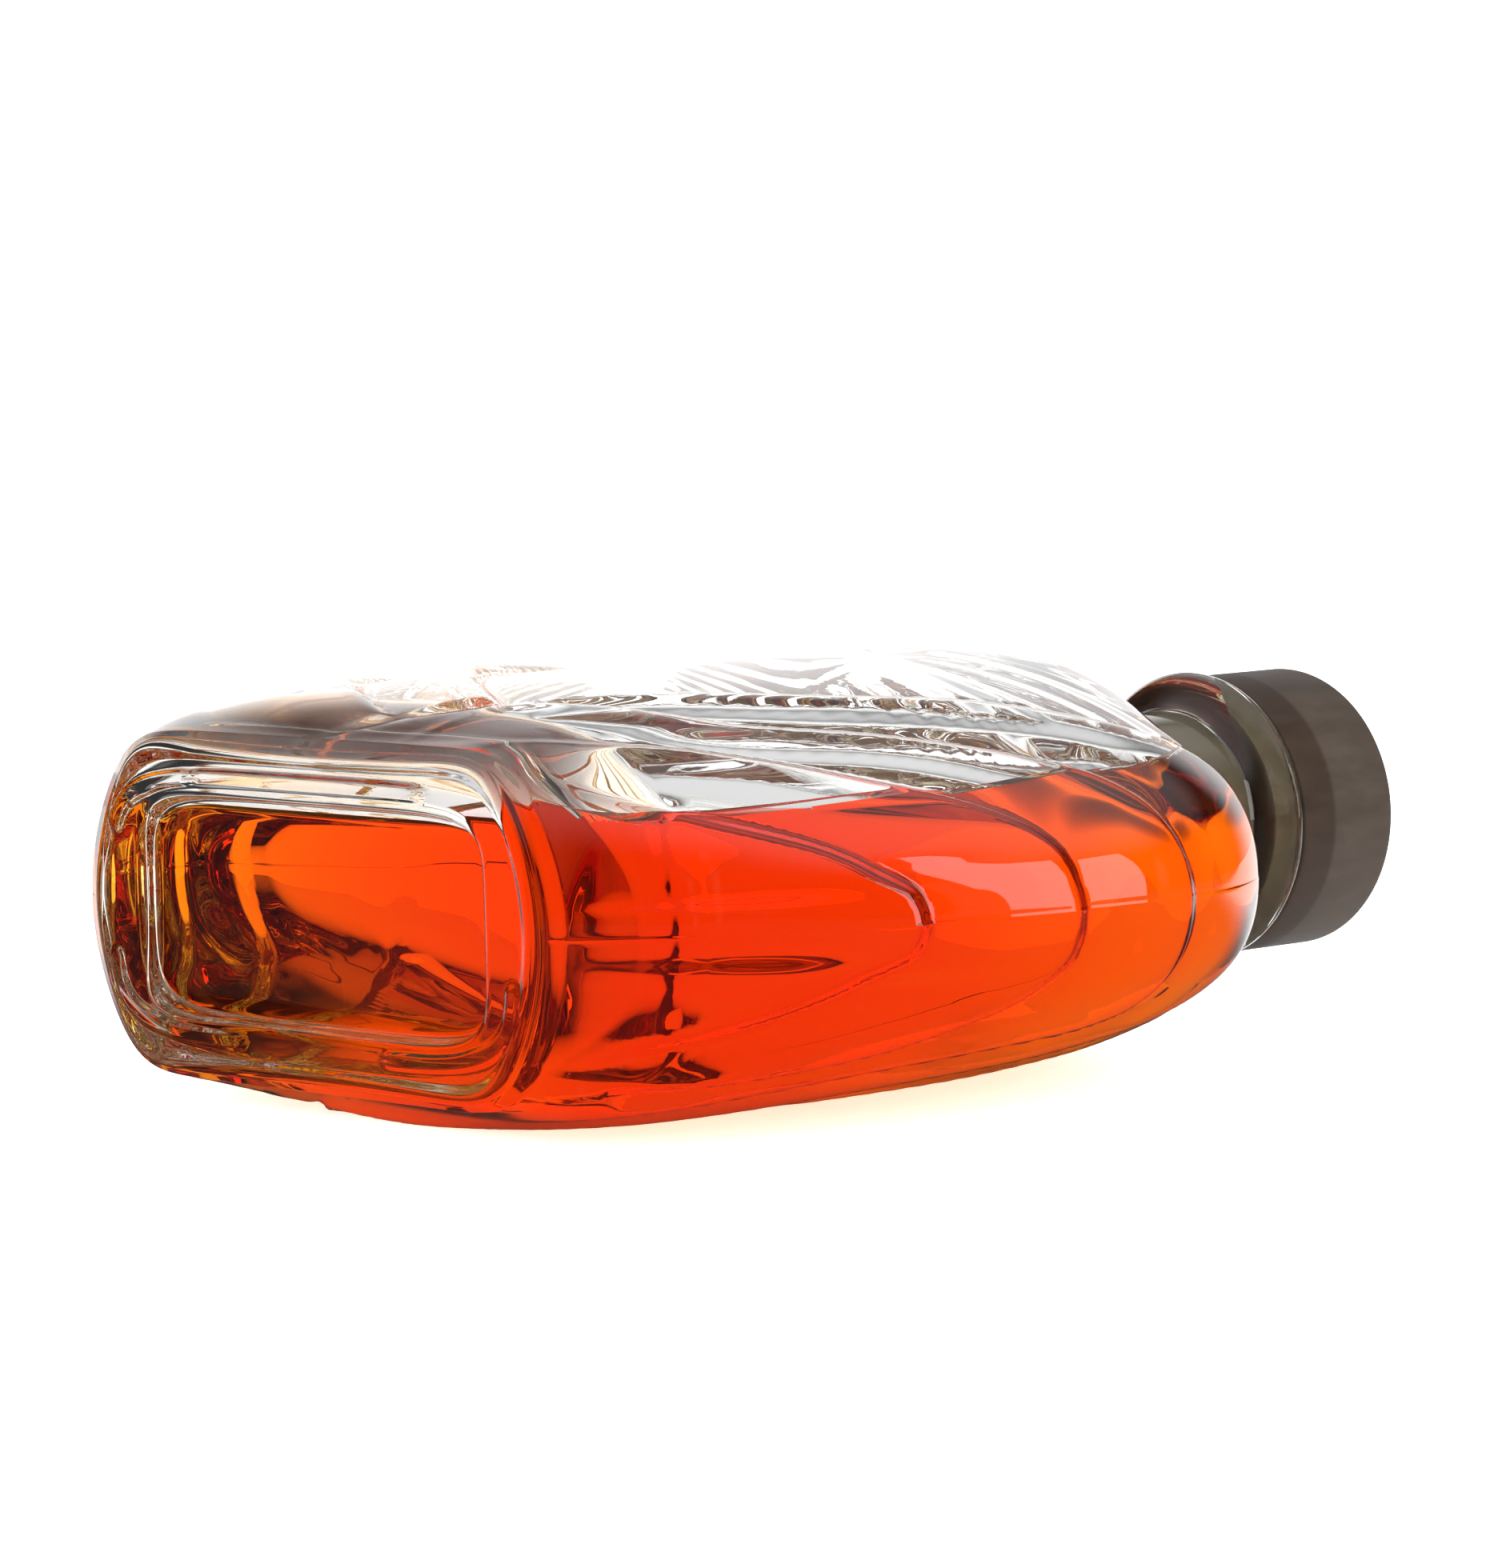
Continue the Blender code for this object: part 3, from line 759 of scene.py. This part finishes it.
def floor_material():
    """Pale everywhere to the eye; in the glass, pale only round and behind the flask, not under it."""
    material, tree, shader, _ = new_material("pale_floor")
    place = node(tree, "ShaderNodeTexCoord").outputs["Object"]
    beyond = dot_product(tree, place, Vector((along.x, along.y, 0.0)).normalized())
    aside = dot_product(tree, place, level)
    ahead = smooth_range(tree, beyond, FLOOR_AHEAD, (0.0, 1.0))
    off = arithmetic(tree, "ABSOLUTE", aside)
    off = arithmetic(tree, "ADD", off, arithmetic(tree, "MULTIPLY", beyond, -FLOOR_WIDENS))
    within = smooth_range(tree, off, FLOOR_WITHIN, (1.0, 0.0))
    footprint = node(tree, "ShaderNodeMapping")
    footprint.inputs["Scale"].default_value = [1 / half for half in FOOTPRINT]
    tree.links.new(place, footprint.inputs["Vector"])
    distance = node(tree, "ShaderNodeVectorMath", operation="LENGTH")
    tree.links.new(footprint.outputs["Vector"], distance.inputs[0])
    clear = smooth_range(tree, distance.outputs["Value"], (0.7, 1.15), (0.06, 0.5))
    seen = arithmetic(tree, "MULTIPLY", arithmetic(tree, "MULTIPLY", ahead, within), clear)
    path = node(tree, "ShaderNodeLightPath")
    for ray in ("Is Camera Ray", "Diffuse Depth"):
        seen = arithmetic(tree, "MAXIMUM", path.outputs[ray], seen)
    tone = ramp(tree, seen, [(0.0, (FLOOR_FAR,) * 3), (0.5, (FLOOR_ROUND,) * 3), (1.0, (FLOOR_TONE,) * 3)])
    tree.links.new(tone, shader.inputs["Base Color"])
    tree.links.new(tone, shader.inputs["Emission Color"])
    shader.inputs["Emission Strength"].default_value = FLOOR_GLOW
    shader.inputs["Roughness"].default_value = 0.9
    shader.inputs["Specular IOR Level"].default_value = 0.2
    return material


bpy.ops.mesh.primitive_plane_add(size=30.0, location=(0.0, 0.0, -FLOOR_DROP))
floor = bpy.context.active_object
floor.name = "floor"
floor.data.materials.append(floor_material())


def surroundings():
    """White all round for matte pieces; the glass shows it dark low down on the near side."""
    world = bpy.data.worlds.new("studio")
    bpy.context.scene.world = world
    world.use_nodes = True
    tree = world.node_tree
    background = tree.nodes["Background"]
    direction = node(tree, "ShaderNodeTexCoord").outputs["Generated"]
    split = node(tree, "ShaderNodeSeparateXYZ")
    tree.links.new(direction, split.inputs["Vector"])
    facing = smooth_range(tree, dot_product(tree, direction, along), (0.70, 0.92), (NEAR_SIDE, BEHIND))
    above = smooth_range(tree, split.outputs["Z"], (0.42, 0.75), (0.0, OVERHEAD))
    strength = arithmetic(tree, "MAXIMUM", facing, above)
    path = node(tree, "ShaderNodeLightPath")
    for ray, value in (("Is Camera Ray", BEHIND), ("Diffuse Depth", LIT)):
        mix = node(tree, "ShaderNodeMix", data_type="FLOAT")
        mix.inputs["B"].default_value = value
        tree.links.new(path.outputs[ray], mix.inputs["Factor"])
        tree.links.new(strength, mix.inputs["A"])
        strength = mix.outputs[0]
    tree.links.new(strength, background.inputs["Strength"])
    background.inputs["Color"].default_value = (1.0, 1.0, 1.0, 1.0)


def softbox(name, place, size, power):
    """Rectangular light that faces the middle of the flask and doesn't show itself."""
    data = bpy.data.lights.new(name, "AREA")
    data.shape = "RECTANGLE"
    data.size, data.size_y = size
    data.energy = power
    made = bpy.data.objects.new(name, data)
    bpy.context.scene.collection.objects.link(made)
    made.location = place
    made.rotation_euler = (Vector((0.0, 0.0, REST_DEPTH)) - Vector(place)).to_track_quat("-Z", "Y").to_euler()
    made.visible_camera = False


surroundings()
softbox("right_front", (0.49, -1.16, 0.37), (0.5, 0.8), 4.0)

scene = bpy.context.scene
scene.view_settings.view_transform = "Standard"
scene.view_settings.look = "None"
scene.cycles.max_bounces = 48
scene.cycles.transmission_bounces = 24
scene.cycles.glossy_bounces = 40
scene.cycles.transparent_max_bounces = 16
